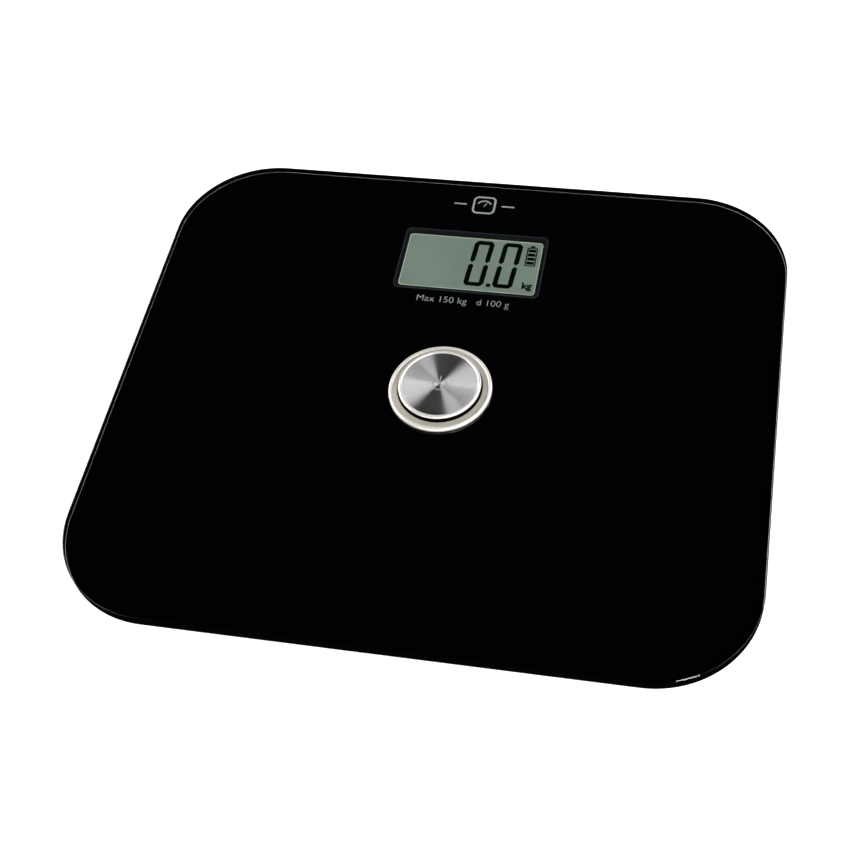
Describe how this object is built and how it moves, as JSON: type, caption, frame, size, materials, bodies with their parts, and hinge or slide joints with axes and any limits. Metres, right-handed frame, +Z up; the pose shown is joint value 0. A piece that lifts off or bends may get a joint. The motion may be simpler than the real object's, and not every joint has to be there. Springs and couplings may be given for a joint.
{
  "type": "digital bathroom scale",
  "caption": "Battery-free digital bathroom scale: black glass platform on rubber feet, LCD at the rear edge, round metal press button in the middle that drives a generator.",
  "frame": {"origin": "on the floor under the middle of the press button, which is the middle of the platform", "axes": "+X along the platform's long side to the right, +Y towards the display end, +Z up"},
  "size_m": [0.3, 0.26, 0.0309],
  "materials": {
    "clear_glass": "clear tempered float glass, ground and polished edge",
    "print_ink": "fired black screen-print ink behind the glass",
    "foam_tape": "black double-sided foam tape",
    "tray_abs": "black textured injection-moulded ABS",
    "polarizer_film": "clear polarizer film",
    "lcd_glass": "liquid-crystal cell glass",
    "reflector_foil": "grey-green reflector film",
    "seal_rubber": "black elastomer",
    "housing_abs": "dark grey fine-textured ABS",
    "board_laminate": "green solder mask on glass-fibre laminate",
    "potting_epoxy": "black potting epoxy",
    "capacitor_sleeve": "dark blue shrink sleeve",
    "component_epoxy": "black moulding compound",
    "key_abs": "grey moulded key",
    "ring_metal": "turned satin aluminium, polished bead",
    "cap_metal": "circular-brushed stainless steel",
    "zinc_plated_steel": "zinc-plated steel",
    "pom_plastic": "natural acetal, slightly glossy",
    "spring_steel": "bright spring steel",
    "copper_winding": "enamelled copper winding",
    "magnet_ferrite": "sintered ring magnet",
    "pinion_brass": "turned brass",
    "lead_pvc": "three fine PVC-covered wires side by side",
    "potting_silicone": "white silicone over a foil gauge",
    "pad_rubber": "soft dark rubber",
    "foot_abs": "dark moulded ABS",
    "cell_steel": "nickel-plated spring steel plate"
  },
  "bodies": {
    "base": {"base_tray": "tray_abs", "board_components": "component_epoxy", "board_screws": "zinc_plated_steel", "button_ring": "ring_metal", "cell_lead_front_left": "lead_pvc", "cell_lead_front_right": "lead_pvc", "cell_lead_rear_left": "lead_pvc", "cell_lead_rear_right": "lead_pvc", "chassis_screws": "zinc_plated_steel", "controller_chip": "potting_epoxy", "display_housing": "housing_abs", "foot_cup_front_left": "foot_abs", "foot_cup_front_right": "foot_abs", "foot_cup_rear_left": "foot_abs", "foot_cup_rear_right": "foot_abs", "foot_pad_front_left": "pad_rubber", "foot_pad_front_right": "pad_rubber", "foot_pad_rear_left": "pad_rubber", "foot_pad_rear_right": "pad_rubber", "gear_axles": "spring_steel", "gear_cover": "pom_plastic", "generator_can": "zinc_plated_steel", "generator_coil": "copper_winding", "generator_end_cap": "housing_abs", "generator_lead": "lead_pvc", "glass_platform": "clear_glass", "lcd_cell": "lcd_glass", "lcd_polarizer": "polarizer_film", "lcd_reflector": "reflector_foil", "load_cell_front_left": "cell_steel", "load_cell_front_right": "cell_steel", "load_cell_rear_left": "cell_steel", "load_cell_rear_right": "cell_steel", "load_cell_retainer_front_left": "foot_abs", "load_cell_retainer_front_right": "foot_abs", "load_cell_retainer_rear_left": "foot_abs", "load_cell_retainer_rear_right": "foot_abs", "main_board": "board_laminate", "mechanism_chassis": "pom_plastic", "platform_tape": "foam_tape", "reservoir_capacitor": "capacitor_sleeve", "retainer_screws": "zinc_plated_steel", "return_spring": "spring_steel", "ring_nut": "zinc_plated_steel", "ring_seal": "seal_rubber", "screen_print": "print_ink", "strain_gauges": "potting_silicone", "unit_switch_body": "component_epoxy", "zebra_strips": "seal_rubber"},
    "button": {"button_cap": "cap_metal", "button_plunger": "housing_abs"},
    "gear_1": {"step_up_gear_1": "pom_plastic"},
    "gear_2": {"step_up_gear_2": "pom_plastic"},
    "gear_3": {"step_up_gear_3": "pom_plastic"},
    "rotor": {"rotor_shaft": "spring_steel", "rotor_magnet": "magnet_ferrite", "generator_pinion": "pinion_brass"},
    "unit_key": {"unit_key": "key_abs", "unit_switch_stem": "component_epoxy"}
  },
  "joints": [
    {"name": "button_press", "type": "slide", "parent": "base", "child": "button", "axis": [0, 0, -1], "range_m": [0, 0.004], "stiffness_N_per_m": 1500, "springref_m": -0.002, "deforming": ["return_spring"]},
    {"name": "unit_key_press", "type": "slide", "parent": "base", "child": "unit_key", "axis": [0, 0, 1], "range_m": [0, 0.0003], "stiffness_N_per_m": 1500, "springref_m": -0.0003},
    {"name": "gear_1_spin", "type": "hinge", "parent": "base", "child": "gear_1", "pos_m": [0.013, -0.002, 0.0113], "axis": [0, -1, 0], "range_deg": [0, 114.82]},
    {"name": "gear_2_spin", "type": "hinge", "parent": "base", "child": "gear_2", "pos_m": [0.0198, 0, 0.0113], "axis": [0, -1, 0], "range_deg": [-275.57, 0]},
    {"name": "gear_3_spin", "type": "hinge", "parent": "base", "child": "gear_3", "pos_m": [0.0266, 0.002, 0.0113], "axis": [0, -1, 0], "range_deg": [0, 661.37]},
    {"name": "rotor_spin", "type": "hinge", "parent": "base", "child": "rotor", "pos_m": [0.0334, 0.009, 0.0113], "axis": [0, -1, 0], "range_deg": [-1587.28, 0]}
  ],
  "couplings": [
    {"joint": "gear_1_spin", "follows": "button_press", "rad_per_m": 500},
    {"joint": "gear_2_spin", "follows": "button_press", "rad_per_m": -1200},
    {"joint": "gear_3_spin", "follows": "button_press", "rad_per_m": 2880},
    {"joint": "rotor_spin", "follows": "button_press", "rad_per_m": -6912}
  ]
}
